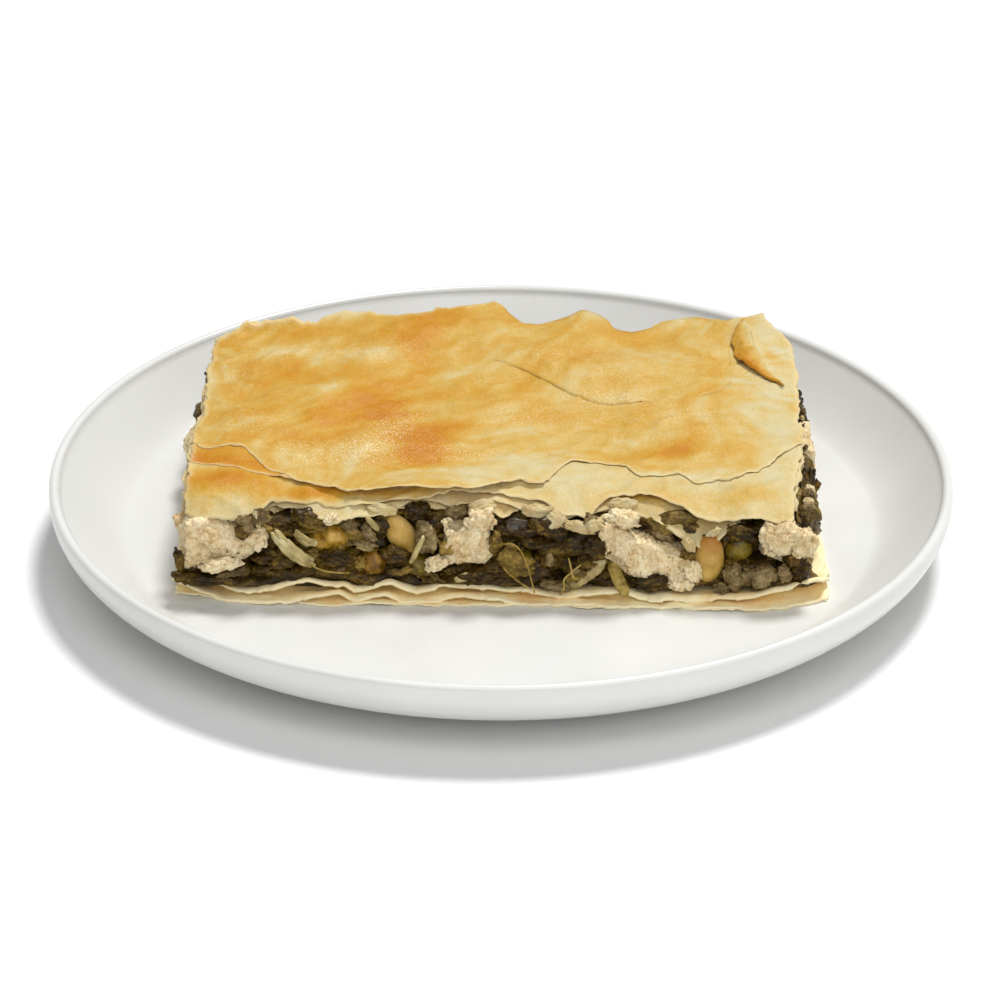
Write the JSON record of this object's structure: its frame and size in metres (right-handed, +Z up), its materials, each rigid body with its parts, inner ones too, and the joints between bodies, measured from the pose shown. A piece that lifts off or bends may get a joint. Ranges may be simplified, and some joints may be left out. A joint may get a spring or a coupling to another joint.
{
  "type": "slice of spanakopita on a plate",
  "caption": "Rectangular slice of spinach pie with flaky top and bottom crusts, tofu, chickpeas and pine nuts in its cut sides, served on a shallow round plate.",
  "frame": {"origin": "where the plate's axis meets the surface that it stands on", "axes": "+Z up along the plate's axis; +X along the slice's long side; the long cut side that faces the diner looks along -Y"},
  "size_m": [0.22, 0.22, 0.0398],
  "materials": {
    "plate_glaze": "white glaze, soft gloss",
    "bottom_pastry": "pale soaked filo, matte",
    "top_pastry": "baked buttered filo, satin",
    "spinach": "cooked spinach, moist",
    "tofu": "crumbly, matte",
    "chickpea": "cooked, satin skin",
    "pine_nut": "toasted, satin",
    "onion": "cooked, moist"
  },
  "bodies": {
    "root": {"plate": "plate_glaze", "bottom_crust": "bottom_pastry", "spinach_filling": "spinach", "top_crust": "top_pastry", "tofu_front_left": "tofu", "tofu_front_middle": "tofu", "tofu_front_right": "tofu", "tofu_right_corner": "tofu", "tofu_right": "tofu", "tofu_left": "tofu", "tofu_back_left": "tofu", "tofu_back_right": "tofu", "chickpea_front_1": "chickpea", "chickpea_front_2": "chickpea", "chickpea_front_3": "chickpea", "chickpea_front_4": "chickpea", "chickpea_front_5": "chickpea", "chickpea_right": "chickpea", "chickpea_left": "chickpea", "chickpea_back": "chickpea", "pine_nut_front_1": "pine_nut", "pine_nut_front_2": "pine_nut", "pine_nut_right": "pine_nut", "pine_nut_back": "pine_nut", "onion_front_1": "onion", "onion_front_2": "onion", "onion_back": "onion", "onion_left": "onion"}
  },
  "joints": []
}
